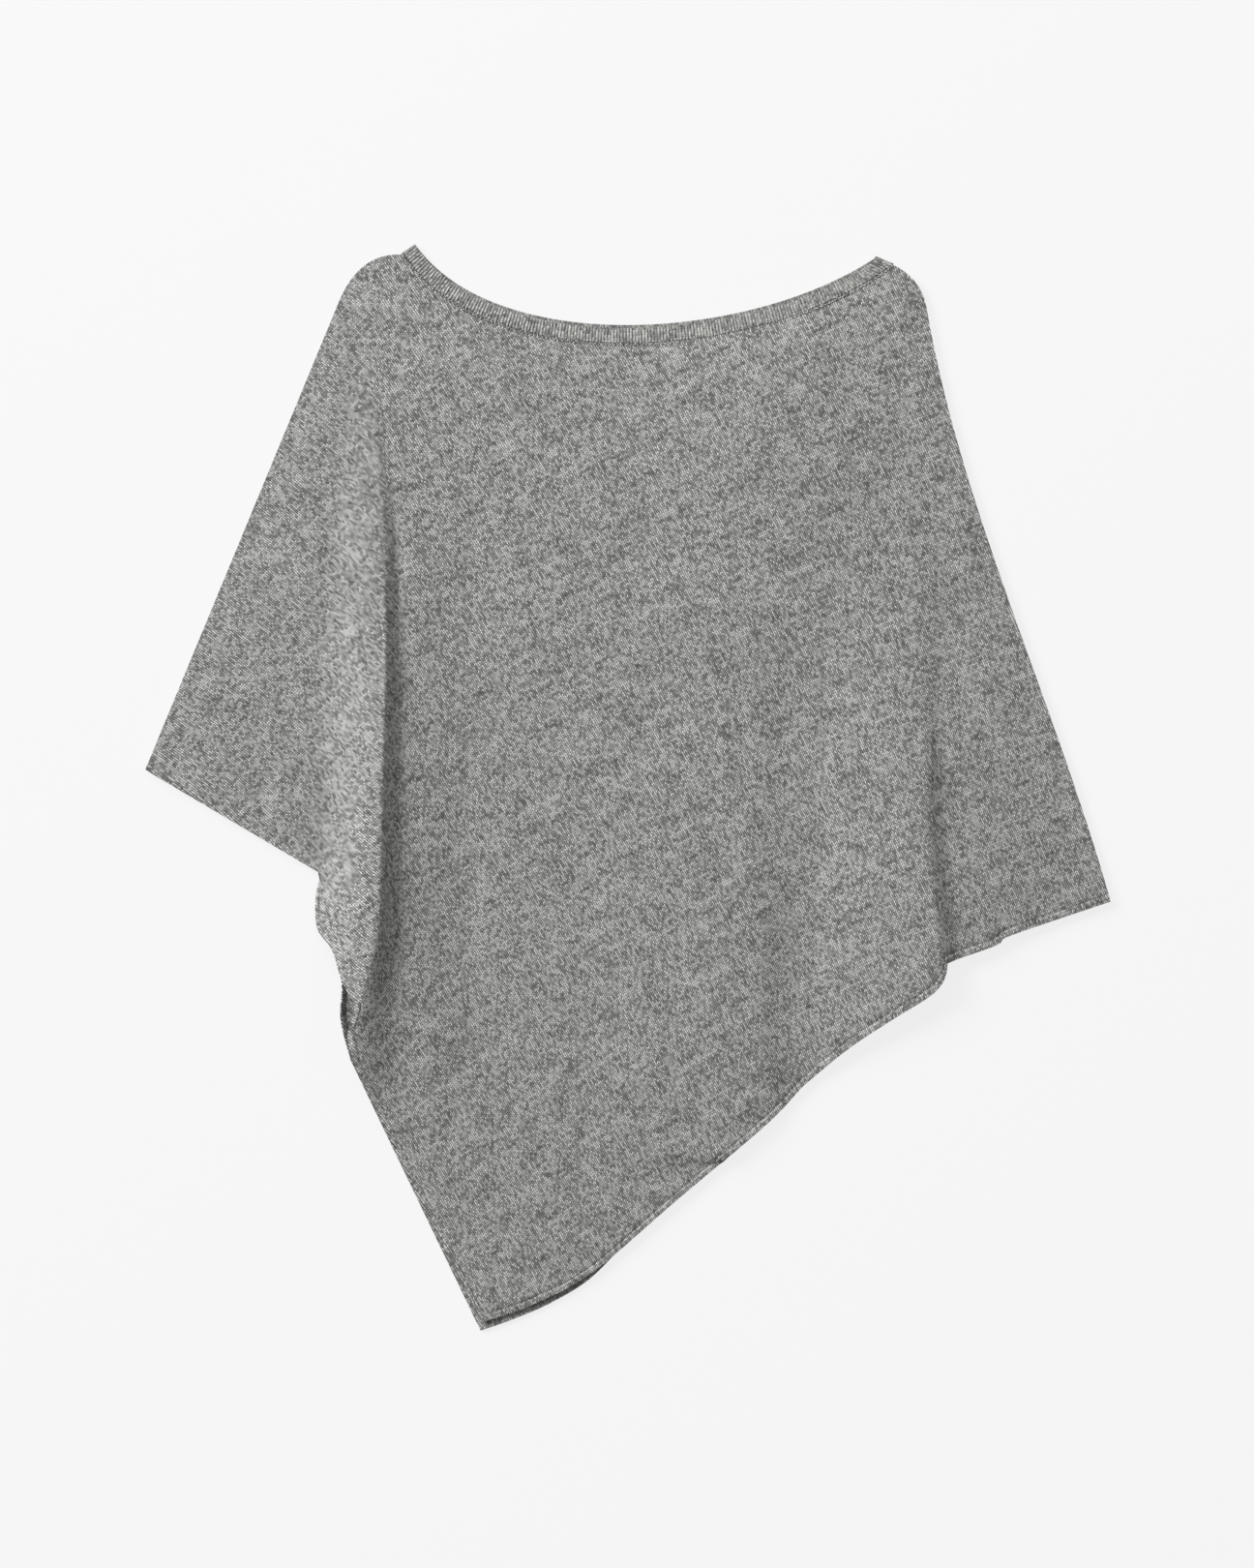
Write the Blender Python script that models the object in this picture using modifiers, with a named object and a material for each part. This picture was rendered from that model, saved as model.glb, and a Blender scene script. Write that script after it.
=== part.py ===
"""A knitted poncho sweater, laid flat on a surface.

A front panel of plain jersey lies on an equal back panel, and a ribbed neckband runs round the neck.
The sides are closed by seams and the hems are open. Two loose flutes run down the front to the hem.

The origin is under the middle of the footprint, on the surface that the poncho lies on.
+Y points to the neck, +X to the side with the longer arm edge, and +Z up.
"""

import math
from collections import namedtuple

import bpy
from mathutils import Vector

MM = 0.001

# The cloth
WALL = 2.0 * MM
SEAM_GAP = 0.3 * MM
BACK_LEVEL = WALL / 2
FRONT_LEVEL = BACK_LEVEL + WALL + SEAM_GAP

# The neckband: its folded ends, the handles of the curve between them, and its height
NECK_LEFT = (-171.0, 435.6)
NECK_RIGHT = (199.0, 425.5)
NECK_LEFT_HANDLE = (111.0, -54.0)
NECK_RIGHT_HANDLE = (122.0, -146.5)
BAND_HEIGHT = 12.5
BAND_GAP = 0.5  # down to the panels' edges, which leaves the seam gap at its narrowest
FRONT_NECK_DROP = 3.0
DROP_FULLNESS = 0.6
END_LEAN = 34.0
END_LEAN_SHARE = 0.12
TURN_STEPS = 6

# The sides, each a rounded shoulder that runs on into the arm edge
SHOULDER_STEPS = 6
ARM_STEPS = 14
Side = namedtuple("Side", "neck shoulder_handles arm_top arm_handles corner")
LEFT_SIDE = Side(
    neck=(-182.6, 429.8),
    shoulder_handles=((-27.0, 1.5), (9.0, 21.0)),
    arm_top=(-232.0, 391.0),
    arm_handles=((-50.0, -121.0), (50.0, 121.0)),
    corner=(-388.0, 14.0),
)
RIGHT_SIDE = Side(
    neck=(213.0, 420.6),
    shoulder_handles=((15.0, -7.0), (-3.0, 16.0)),
    arm_top=(240.0, 385.0),
    arm_handles=((27.0, -160.0), (-45.0, 160.0)),
    corner=(388.0, -92.0),
)

# The hems, from the left corner to the right one. A piece runs to the first point of the next.
# Its columns of cloth start at its share of the neckline, and reach its start from the direction
# "from_angle", in degrees.
HemPiece = namedtuple("HemPiece", "name neck_share from_angle columns points")
FRONT_HEM = (
    HemPiece("left hem", 0.0, 68, 6, ((-388, 14), (-246, -70))),
    HemPiece(
        "left flute mouth",
        0.1,
        64,
        16,
        (
            (-246, -70),
            (-250.5, -90),
            (-249, -114),
            (-237, -131),
            (-230, -155),
            (-222, -176),
            (-225.5, -200),
            (-219.5, -224),
        ),
    ),
    HemPiece("lower left hem", 0.28, 35, 6, ((-219.5, -224), (-117, -430))),
    HemPiece(
        "lower right hem",
        0.44,
        75,
        10,
        ((-117, -430), (-77, -416), (-30, -391), (38, -333), (111, -271), (141, -240)),
    ),
    HemPiece(
        "right flute mouth",
        0.72,
        105,
        12,
        ((141, -240), (176, -211), (208, -189), (241, -167), (251.5, -152), (254, -141.5)),
    ),
    HemPiece("right arm hem", 0.93, 108, 7, ((254, -141.5), (296, -127), (308, -119), (388, -92))),
)
BACK_HEM = (
    HemPiece("left hem", 0.0, 68, 4, ((-388, 14), (-250, -66))),
    HemPiece(
        "hem under the left flute", 0.1, 64, 5, ((-250, -66), (-231, -150), (-231, -186), (-223, -220))
    ),
    HemPiece("lower left hem", 0.28, 35, 4, ((-223, -220), (-118.5, -437.5))),
    HemPiece(
        "lower right hem",
        0.44,
        75,
        9,
        ((-118.5, -437.5), (-93, -428.5), (-62, -415), (-30, -395), (2, -362), (36, -328), (108, -267)),
    ),
    HemPiece("hem under the right flute", 0.72, 105, 4, ((108, -267), (176, -205), (254, -135))),
    HemPiece("right arm hem", 0.93, 108, 3, ((254, -135), (388, -92))),
)
RIGHT_CORNER_FROM = 106
TOP_PULL = 0.3
HEM_PULL = 0.3

# The flutes: at each y the foot where the cloth starts to rise, the crest, the base of its
# steep side, and the height of the crest
Section = namedtuple("Section", "y foot crest base height")
Flute = namedtuple("Flute", "name roundness sections")
FLUTES = (
    Flute(
        "left flute",
        1.6,
        (
            Section(320, -222, -212, -204, 0.0),
            Section(275, -224, -206, -192, 1.5),
            Section(228, -232, -200, -183, 4.0),
            Section(166, -239, -196, -178, 6.5),
            Section(88, -243, -196, -177, 9.0),
            Section(-52, -246, -199, -178, 12.5),
            Section(-110, -258, -201, -180, 13.0),
            Section(-150, -260, -208, -182, 11.0),
            Section(-185, -250, -220, -192, 6.0),
            Section(-215, -240, -224, -202, 1.5),
            Section(-240, -240, -224, -202, 0.0),
        ),
    ),
    Flute(
        "right flute",
        3.0,
        (
            Section(230, 165, 223, 246, 0.0),
            Section(135, 157, 230, 252, 1.5),
            Section(26, 151, 237, 256, 5.0),
            Section(-34, 149, 239, 258, 7.5),
            Section(-87, 147, 243, 262, 9.5),
            Section(-150, 146, 253, 267, 10.0),
            Section(-240, 140, 260, 275, 8.0),
        ),
    ),
)

ROWS = 24

FINISHES = {
    "front_panel": (0.262, 0.264, 0.255, 1.0),
    "back_panel": (0.25, 0.252, 0.243, 1.0),
    "neckband": (0.275, 0.277, 0.265, 1.0),
}
CLOTH_ROUGHNESS = 0.92


def bezier(start, start_handle, end_handle, end, t):
    """The point at t of a cubic curve, whose handles are given from their own ends."""
    first = Vector(start)
    last = Vector(end)
    leaving = first + Vector(start_handle)
    arriving = last + Vector(end_handle)
    rest = 1 - t
    return first * rest**3 + leaving * 3 * t * rest**2 + arriving * 3 * t**2 * rest + last * t**3


def polar(length, degrees):
    angle = math.radians(degrees)
    return Vector((length * math.cos(angle), length * math.sin(angle)))


def even_points(points, steps):
    """Steps + 1 points, evenly apart, on a smooth curve through the given ones."""
    knots = [Vector(point) for point in points]
    ends = [knots[0] * 2 - knots[1], *knots, knots[-1] * 2 - knots[-2]]
    fine = []
    for before, start, end, after in zip(ends, ends[1:], ends[2:], ends[3:]):
        for step in range(8):
            t = step / 8
            leaving = (end - before) / 6
            arriving = (start - after) / 6
            fine.append(bezier(start, leaving, arriving, end, t))
    fine.append(knots[-1])
    return resample(fine, [step / steps for step in range(steps + 1)])


def resample(points, shares):
    """The points at the given shares of a path's length."""
    reached = [0.0]
    for start, end in zip(points, points[1:]):
        reached.append(reached[-1] + (end - start).length)
    placed = []
    for share in shares:
        goal = share * reached[-1]
        index = max(i for i in range(len(points) - 1) if reached[i] <= goal + 1e-9)
        stretch = reached[index + 1] - reached[index]
        placed.append(points[index].lerp(points[index + 1], (goal - reached[index]) / stretch))
    return placed


def smooth(share):
    share = min(max(share, 0.0), 1.0)
    return share * share * (3 - 2 * share)


def neckline(t):
    """A point of the neck's edge, and the direction that leads from it down the band."""
    handles = (polar(*NECK_LEFT_HANDLE), polar(*NECK_RIGHT_HANDLE))
    point = bezier(NECK_LEFT, *handles, NECK_RIGHT, t)
    step = 0.001
    first = max(t - step, 0.0)
    last = min(t + step, 1.0)
    along = bezier(NECK_LEFT, *handles, NECK_RIGHT, last) - bezier(NECK_LEFT, *handles, NECK_RIGHT, first)
    along.normalize()
    down = Vector((along.y, -along.x))
    lean = math.radians(END_LEAN) * smooth((t - 1 + END_LEAN_SHARE) / END_LEAN_SHARE)
    leaning = Vector(
        (
            down.x * math.cos(lean) - down.y * math.sin(lean),
            down.x * math.sin(lean) + down.y * math.cos(lean),
        )
    )
    return point, leaning / math.cos(lean)


def band_edges(t, drop):
    """The upper and lower edge of the band at t, with the neck lowered by drop in the middle."""
    point, down = neckline(t)
    upper = point + down * drop * math.sin(math.pi * t) ** DROP_FULLNESS
    return upper, upper + down * BAND_HEIGHT


def flute_row(flute, y):
    """The flute's foot, crest, base and height at y, read smoothly between its sections."""
    sections = flute.sections
    if not sections[-1].y < y < sections[0].y:
        return None
    index = max(i for i in range(len(sections) - 1) if sections[i].y >= y)
    above = sections[index]
    below = sections[index + 1]
    share = (above.y - y) / (above.y - below.y)
    eased = smooth(share) if 0 in (above.height, below.height) else share
    edges = [a + (b - a) * share for a, b in zip(above[1:4], below[1:4])]
    return (*edges, above.height + (below.height - above.height) * eased)


def flute_height(point):
    """How far the flutes lift the front over this point, all in millimetres."""
    lift = 0.0
    for flute in FLUTES:
        row = flute_row(flute, point.y)
        if row is None:
            continue
        foot, crest, base, height = row
        if foot < point.x <= crest:
            share = (point.x - foot) / (crest - foot)
            lift += height * (1 - (1 - share) ** flute.roundness)
        elif crest < point.x < base:
            share = (point.x - crest) / (base - crest)
            lift += height * (1 + math.cos(math.pi * share)) / 2
    return lift


def side_points(side, rows):
    """Rows + 1 points down a side, from the neckband to the hem's corner."""
    shoulder = [
        bezier(side.neck, *side.shoulder_handles, side.arm_top, step / SHOULDER_STEPS)
        for step in range(SHOULDER_STEPS)
    ]
    arm = [
        bezier(side.arm_top, *side.arm_handles, side.corner, step / ARM_STEPS)
        for step in range(ARM_STEPS + 1)
    ]
    return resample(shoulder + arm, [row / rows for row in range(rows + 1)])


def neck_places(hem):
    """The places along the neckline, from 0 to 1, where the columns of a panel start."""
    starts = [piece.neck_share for piece in hem] + [1.0]
    places = []
    for piece, start, end in zip(hem, starts, starts[1:]):
        places += [start + (end - start) * step / piece.columns for step in range(piece.columns)]
    return [*places, 1.0]


def panel_top(hem, drop):
    """The panel's upper edge, just clear of the neckband's lower one."""
    edge = []
    for t in neck_places(hem):
        upper, lower = band_edges(t, drop)
        edge.append(lower + (lower - upper).normalized() * BAND_GAP)
    return edge


def panel_hem(hem):
    """The panel's hem, from the left corner to the right one."""
    edge = []
    for piece in hem:
        edge += even_points(piece.points, piece.columns)[:-1]
    return [*edge, Vector(hem[-1].points[-1])]


def hem_pulls(hem):
    """For each column, the direction that it comes from where it reaches the hem."""
    angles = [piece.from_angle for piece in hem] + [RIGHT_CORNER_FROM]
    pulls = []
    for piece, start, end in zip(hem, angles, angles[1:]):
        pulls += [polar(1, start + (end - start) * step / piece.columns) for step in range(piece.columns)]
    return [*pulls, polar(1, RIGHT_CORNER_FROM)]


def panel_points(hem, drop, rows):
    """The panel's rows of points: curved columns from neck to hem, fitted between the two sides."""
    tops = panel_top(hem, drop)
    feet = panel_hem(hem)
    sides = [
        side_points(side._replace(neck=top), rows)
        for side, top in ((LEFT_SIDE, tops[0]), (RIGHT_SIDE, tops[-1]))
    ]
    columns = []
    for top, foot, pull in zip(tops, feet, hem_pulls(hem)):
        span = (top - foot).length
        handles = ((foot - top) * TOP_PULL, pull * span * HEM_PULL)
        columns.append([bezier(top, *handles, foot, row / rows) for row in range(rows + 1)])
    last = len(columns) - 1
    grid = []
    for row in range(rows + 1):
        left_miss = sides[0][row] - columns[0][row]
        right_miss = sides[1][row] - columns[last][row]
        grid.append(
            [
                columns[place][row] + left_miss * (1 - place / last) + right_miss * place / last
                for place in range(last + 1)
            ]
        )
    return grid


def cloth_finish(name):
    """The knitted cloth's plain material, in the colour of the named piece."""
    material = bpy.data.materials.new(name + "_knit")
    material.use_nodes = True
    shader = material.node_tree.nodes["Principled BSDF"]
    shader.inputs["Base Color"].default_value = FINISHES[name]
    shader.inputs["Roughness"].default_value = CLOTH_ROUGHNESS
    shader.inputs["Metallic"].default_value = 0.0
    return material


def as_cloth(sheet, name, collection):
    """Names an open sheet, gives it the wall of the cloth and puts it in the collection."""
    sheet.name = name
    sheet.data.name = name
    sheet.data.materials.append(cloth_finish(name))
    sheet.data.shade_smooth()
    sheet.data.set_sharp_from_angle(angle=math.radians(40))
    wall = sheet.modifiers.new("wall", "SOLIDIFY")
    wall.thickness = WALL
    wall.offset = 0.0
    for home in list(sheet.users_collection):
        home.objects.unlink(sheet)
    collection.objects.link(sheet)
    return sheet


def make_panel(name, hem, drop, level, lift, collection):
    """A knitted panel: a grid laid out to its edges, and lifted where the flutes are."""
    grid = panel_points(hem, drop, ROWS)
    columns = len(grid[0]) - 1
    bpy.ops.mesh.primitive_grid_add(x_subdivisions=columns, y_subdivisions=ROWS, size=1.0)
    sheet = bpy.context.object
    for vertex in sheet.data.vertices:
        column = round((vertex.co.x + 0.5) * columns)
        row = round((0.5 - vertex.co.y) * ROWS)
        point = grid[row][column]
        vertex.co = (point.x * MM, point.y * MM, level + lift(point) * MM)
    return as_cloth(sheet, name, collection)


def band_ring():
    """The pairs of upper and lower points round the neckband: front, right turn, back, left turn."""
    ring = []
    radius = (FRONT_LEVEL - BACK_LEVEL) / 2
    middle = (FRONT_LEVEL + BACK_LEVEL) / 2
    front = (neck_places(FRONT_HEM), FRONT_NECK_DROP, FRONT_LEVEL)
    back = (neck_places(BACK_HEM)[::-1], 0.0, BACK_LEVEL)
    for places, drop, level in (front, back):
        end = places[-1]
        for t in places:
            upper, lower = band_edges(t, drop)
            ring.append((*((edge * MM).to_3d() + Vector((0, 0, level)) for edge in (upper, lower)),))
        upper, lower = band_edges(end, 0.0)
        fold = (upper - lower).normalized()
        outward = Vector((-fold.y, fold.x)) if end == 0 else Vector((fold.y, -fold.x))
        sense = 1 if end == 1 else -1
        for step in range(1, TURN_STEPS):
            angle = math.pi * step / TURN_STEPS
            bulge = (outward * radius * math.sin(angle)).to_3d()
            height = Vector((0, 0, middle + sense * radius * math.cos(angle)))
            ring.append((*((edge * MM).to_3d() + bulge + height for edge in (upper, lower)),))
    return ring


def make_neckband(collection):
    """The ribbed neckband: an open tube, flattened on itself and bent along the neckline."""
    ring = band_ring()
    bpy.ops.mesh.primitive_cylinder_add(vertices=len(ring), radius=1.0, depth=2.0, end_fill_type="NOTHING")
    sheet = bpy.context.object
    for vertex in sheet.data.vertices:
        turn = math.atan2(vertex.co.x, vertex.co.y) / math.tau
        upper, lower = ring[round(turn * len(ring)) % len(ring)]
        vertex.co = upper if vertex.co.z > 0 else lower
    return as_cloth(sheet, "neckband", collection)


def clear_scene():
    for item in list(bpy.data.objects):
        bpy.data.objects.remove(item, do_unlink=True)


def flat(_point):
    return 0.0


def main():
    clear_scene()
    collection = bpy.data.collections.new("poncho_sweater")
    bpy.context.scene.collection.children.link(collection)
    make_panel("back_panel", BACK_HEM, 0.0, BACK_LEVEL, flat, collection)
    make_panel("front_panel", FRONT_HEM, FRONT_NECK_DROP, FRONT_LEVEL, flute_height, collection)
    make_neckband(collection)


main()
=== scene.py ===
"""The look of a knitted poncho sweater, laid flat: jersey panels, a ribbed neckband and its linking."""

import math
from collections import namedtuple

import bpy
import numpy as np
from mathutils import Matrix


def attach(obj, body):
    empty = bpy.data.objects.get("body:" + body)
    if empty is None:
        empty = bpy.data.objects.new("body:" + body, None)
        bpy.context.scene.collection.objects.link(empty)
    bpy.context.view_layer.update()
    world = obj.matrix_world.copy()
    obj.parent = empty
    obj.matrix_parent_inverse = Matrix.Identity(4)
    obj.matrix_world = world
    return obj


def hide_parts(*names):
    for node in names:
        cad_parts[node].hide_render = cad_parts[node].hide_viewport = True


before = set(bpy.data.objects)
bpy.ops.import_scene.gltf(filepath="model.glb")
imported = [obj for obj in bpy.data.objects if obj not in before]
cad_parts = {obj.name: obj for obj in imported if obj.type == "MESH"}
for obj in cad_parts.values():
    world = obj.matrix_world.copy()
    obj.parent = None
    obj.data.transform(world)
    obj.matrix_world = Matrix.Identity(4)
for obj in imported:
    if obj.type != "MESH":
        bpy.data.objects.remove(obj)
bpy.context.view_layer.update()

MM = 0.001
WALL = 2.0
SEAM_GAP = 0.3
BACK_LEVEL = WALL / 2
FRONT_LEVEL = BACK_LEVEL + WALL + SEAM_GAP

# ---------------------------------------------------------------------------------------------
# The pattern, in millimetres: the solids' own hems and sides. The left flute stands taller here
# than in the solids, and the two low swells are only here.
# ---------------------------------------------------------------------------------------------

NECK_LEFT = (-171.0, 435.6)
NECK_RIGHT = (199.0, 425.5)
NECK_LEFT_HANDLE = (111.0, -54.0)
NECK_RIGHT_HANDLE = (122.0, -146.5)
BAND_HEIGHT = 12.5
BAND_GAP = 0.5
FRONT_NECK_DROP = 3.0
DROP_FULLNESS = 0.6
END_LEAN = 34.0
END_LEAN_SHARE = 0.12

Side = namedtuple("Side", "shoulder_handles arm_top arm_handles corner")
LEFT_SIDE = Side(
    shoulder_handles=((-27.0, 1.5), (9.0, 21.0)),
    arm_top=(-232.0, 391.0),
    arm_handles=((-50.0, -121.0), (50.0, 121.0)),
    corner=(-388.0, 14.0),
)
RIGHT_SIDE = Side(
    shoulder_handles=((15.0, -7.0), (-3.0, 16.0)),
    arm_top=(240.0, 385.0),
    arm_handles=((27.0, -160.0), (-45.0, 160.0)),
    corner=(388.0, -92.0),
)

HemPiece = namedtuple("HemPiece", "name neck_share from_angle columns points")
FRONT_HEM = (
    HemPiece("left hem", 0.0, 68, 44, ((-388, 14), (-246, -70))),
    HemPiece(
        "left flute mouth",
        0.1,
        64,
        64,
        (
            (-246, -70),
            (-250.5, -90),
            (-249, -114),
            (-237, -131),
            (-230, -155),
            (-222, -176),
            (-225.5, -200),
            (-219.5, -224),
        ),
    ),
    HemPiece("lower left hem", 0.28, 35, 44, ((-219.5, -224), (-117, -430))),
    HemPiece(
        "lower right hem",
        0.44,
        75,
        66,
        ((-117, -430), (-77, -416), (-30, -391), (38, -333), (111, -271), (141, -240)),
    ),
    HemPiece(
        "right flute mouth",
        0.72,
        105,
        56,
        ((141, -240), (176, -211), (208, -189), (241, -167), (251.5, -152), (254, -141.5)),
    ),
    HemPiece("right arm hem", 0.93, 108, 36, ((254, -141.5), (296, -127), (308, -119), (388, -92))),
)
BACK_HEM = (
    HemPiece("left hem", 0.0, 68, 24, ((-388, 14), (-250, -66))),
    HemPiece(
        "hem under the left flute", 0.1, 64, 26, ((-250, -66), (-231, -150), (-231, -186), (-223, -220))
    ),
    HemPiece("lower left hem", 0.28, 35, 28, ((-223, -220), (-118.5, -437.5))),
    HemPiece(
        "lower right hem",
        0.44,
        75,
        44,
        ((-118.5, -437.5), (-93, -428.5), (-62, -415), (-30, -395), (2, -362), (36, -328), (108, -267)),
    ),
    HemPiece("hem under the right flute", 0.72, 105, 30, ((108, -267), (176, -205), (254, -135))),
    HemPiece("right arm hem", 0.93, 108, 20, ((254, -135), (388, -92))),
)
RIGHT_CORNER_FROM = 106
TOP_PULL = 0.3
HEM_PULL = 0.3

Section = namedtuple("Section", "y foot crest base height")
Flute = namedtuple("Flute", "name roundness steepness overhang bead ridge tail tail_length sections")
FLUTES = (
    Flute(
        name="left flute",
        roundness=1.7,
        steepness=1.3,
        overhang=7.0,
        bead=0.6,
        ridge=0.9,
        tail=5.0,
        tail_length=58.0,
        sections=(
            Section(330, -222, -212, -200, 0.0),
            Section(275, -226, -205, -190, 2.5),
            Section(228, -234, -199, -184, 5.0),
            Section(166, -240, -196, -182, 8.6),
            Section(88, -243, -195, -180, 12.4),
            Section(10, -243, -197, -181, 14.8),
            Section(-52, -243, -198.5, -181, 16.6),
            Section(-110, -256, -200.5, -180, 17.0),
            Section(-146, -260, -207, -179, 16.6),
            Section(-169, -256, -213, -177, 15.4),
            Section(-184, -250, -217, -175, 14.2),
            Section(-201, -243, -219, -173, 12.6),
            Section(-217, -240, -220, -172, 10.4),
            Section(-234, -240, -218, -170, 7.4),
            Section(-256, -236, -211, -166, 4.2),
            Section(-290, -222, -194, -154, 1.6),
            Section(-340, -198, -170, -134, 0.0),
        ),
    ),
    Flute(
        name="shoulder swell",
        roundness=2.0,
        steepness=1.0,
        overhang=0.0,
        bead=0.0,
        ridge=0.0,
        tail=0.0,
        tail_length=10.0,
        sections=(
            Section(385, 20, 118, 240, 0.0),
            Section(320, 10, 120, 248, 3.4),
            Section(240, 0, 125, 258, 2.8),
            Section(140, 0, 130, 264, 1.0),
            Section(60, 0, 130, 264, 0.0),
        ),
    ),
    Flute(
        name="body swell",
        roundness=2.0,
        steepness=1.0,
        overhang=0.0,
        bead=0.0,
        ridge=0.0,
        tail=0.0,
        tail_length=10.0,
        sections=(
            Section(240, 0, 95, 128, 0.0),
            Section(100, -10, 95, 128, 1.2),
            Section(0, -20, 98, 129, 2.0),
            Section(-100, -30, 100, 131, 3.0),
            Section(-200, -30, 100, 133, 3.6),
            Section(-300, -20, 105, 133, 3.0),
        ),
    ),
    Flute(
        name="right flute",
        roundness=3.0,
        steepness=1.0,
        overhang=3.0,
        bead=0.3,
        ridge=0.0,
        tail=3.2,
        tail_length=100.0,
        sections=(
            Section(240, 168, 223, 246, 0.0),
            Section(135, 162, 230, 250, 2.2),
            Section(26, 157, 237, 254, 6.0),
            Section(-34, 155, 239, 257, 8.0),
            Section(-87, 153, 243, 263, 9.2),
            Section(-150, 152, 252, 271, 9.6),
            Section(-240, 148, 259, 279, 7.6),
        ),
    ),
)

# How the knit lies: at each place the slope of its wales, in degrees down to the right
Lie = namedtuple("Lie", "x y slope")
BODY_LIES = (
    Lie(-155, 307, 57.4),
    Lie(-38, 307, 59),
    Lie(118, 283, 64),
    Lie(196, 244, 67),
    Lie(-38, 127, 59.5),
    Lie(118, 88, 62),
    Lie(274, 127, 68),
    Lie(274, -29, 70),
    Lie(336, -52, 74),
    Lie(79, -29, 62),
    Lie(-116, -146, 60),
    Lie(40, -146, 57),
    Lie(-132, -263, 58),
    Lie(1, -263, 55.5),
)
LEFT_ARM_LIES = (
    Lie(-335, 104, 33.5),
    Lie(-303, 197, 36),
    Lie(-272, 260, 38),
    Lie(-249, 322, 43),
    Lie(-241, 197, 45),
    Lie(-225, 73, 46),
    Lie(-225, -29, 49),
)
WALE_PITCH = 3.15
COURSE_PITCH = 2.1
RIB_PITCH = 2.5


# ---------------------------------------------------------------------------------------------
# Curves
# ---------------------------------------------------------------------------------------------


def bezier(start, start_handle, end_handle, end, t):
    """Points of a cubic curve at the values t, whose handles are given from their own ends."""
    first, last = np.array(start, float), np.array(end, float)
    leaving, arriving = first + start_handle, last + end_handle
    t = np.asarray(t, float)[..., None]
    rest = 1 - t
    return first * rest**3 + leaving * 3 * t * rest**2 + arriving * 3 * t**2 * rest + last * t**3


def polar(length, degrees):
    angle = np.radians(degrees)
    return np.stack((length * np.cos(angle), length * np.sin(angle)), axis=-1)


def through(points, steps=12):
    """A fine line on a smooth curve through the given points."""
    knots = np.array(points, float)
    ends = np.vstack((knots[0] * 2 - knots[1], knots, knots[-1] * 2 - knots[-2]))
    t = np.arange(steps) / steps
    runs = [
        bezier(start, (end - before) / 6, (start - after) / 6, end, t)
        for before, start, end, after in zip(ends, ends[1:], ends[2:], ends[3:])
    ]
    return np.vstack((*runs, knots[-1:]))


def reached(line):
    """How far along a line each of its points lies."""
    return np.concatenate(([0.0], np.cumsum(np.linalg.norm(np.diff(line, axis=0), axis=1))))


def resample(line, shares):
    """The points at the given shares of a line's length."""
    length = reached(line)
    goal = np.asarray(shares) * length[-1]
    return np.stack([np.interp(goal, length, line[:, axis]) for axis in range(line.shape[1])], axis=-1)


def smooth(share):
    share = np.clip(share, 0.0, 1.0)
    return share * share * (3 - 2 * share)


def unit(vectors):
    return vectors / np.maximum(np.linalg.norm(vectors, axis=-1, keepdims=True), 1e-9)


# ---------------------------------------------------------------------------------------------
# The neck's edge, the sides and the panels' grids
# ---------------------------------------------------------------------------------------------


def neckline(t):
    """Points of the neck's edge, and the direction that leads from each down the band."""
    t = np.asarray(t, float)
    handles = (polar(*NECK_LEFT_HANDLE), polar(*NECK_RIGHT_HANDLE))
    step = 0.001
    point = bezier(NECK_LEFT, *handles, NECK_RIGHT, t)
    ahead = bezier(NECK_LEFT, *handles, NECK_RIGHT, np.minimum(t + step, 1))
    behind = bezier(NECK_LEFT, *handles, NECK_RIGHT, np.maximum(t - step, 0))
    run = unit(ahead - behind)
    lean = np.radians(END_LEAN) * smooth((t - 1 + END_LEAN_SHARE) / END_LEAN_SHARE)
    angle = np.arctan2(-run[..., 0], run[..., 1]) + lean
    return point, np.stack((np.cos(angle), np.sin(angle)), axis=-1) / np.cos(lean)[..., None]


def band_edges(t, drop):
    """The upper and lower edges of the band at t, with the neck lowered by drop in the middle."""
    point, down = neckline(t)
    sag = np.sin(np.pi * np.clip(t, 0, 1)) ** DROP_FULLNESS
    upper = point + down * drop * sag[..., None]
    return upper, upper + down * BAND_HEIGHT


def panel_top(hem, drop):
    """The places along the neckline where a panel's columns start, and the points there."""
    starts = [piece.neck_share for piece in hem] + [1.0]
    places = [
        np.linspace(start, end, piece.columns, endpoint=False)
        for piece, start, end in zip(hem, starts, starts[1:])
    ]
    upper, lower = band_edges(np.concatenate((*places, [1.0])), drop)
    return lower + unit(lower - upper) * BAND_GAP


def panel_hem(hem):
    """The panel's hem, from the left corner to the right one."""
    runs = [
        resample(through(piece.points), np.linspace(0, 1, piece.columns, endpoint=False))
        for piece in hem
    ]
    return np.vstack((*runs, [hem[-1].points[-1]]))


def hem_pulls(hem):
    """For each column, the direction that it comes from where it reaches the hem."""
    angles = [piece.from_angle for piece in hem] + [RIGHT_CORNER_FROM]
    runs = [
        np.linspace(start, end, piece.columns, endpoint=False)
        for piece, start, end in zip(hem, angles, angles[1:])
    ]
    return polar(1.0, np.concatenate((*runs, [RIGHT_CORNER_FROM])))


def side_line(side, neck):
    """A fine line down a side, from the neckband to the hem's corner."""
    shoulder = bezier(neck, *side.shoulder_handles, side.arm_top, np.linspace(0, 1, 24, endpoint=False))
    arm = bezier(side.arm_top, *side.arm_handles, side.corner, np.linspace(0, 1, 40))
    return np.vstack((shoulder, arm))


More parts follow.
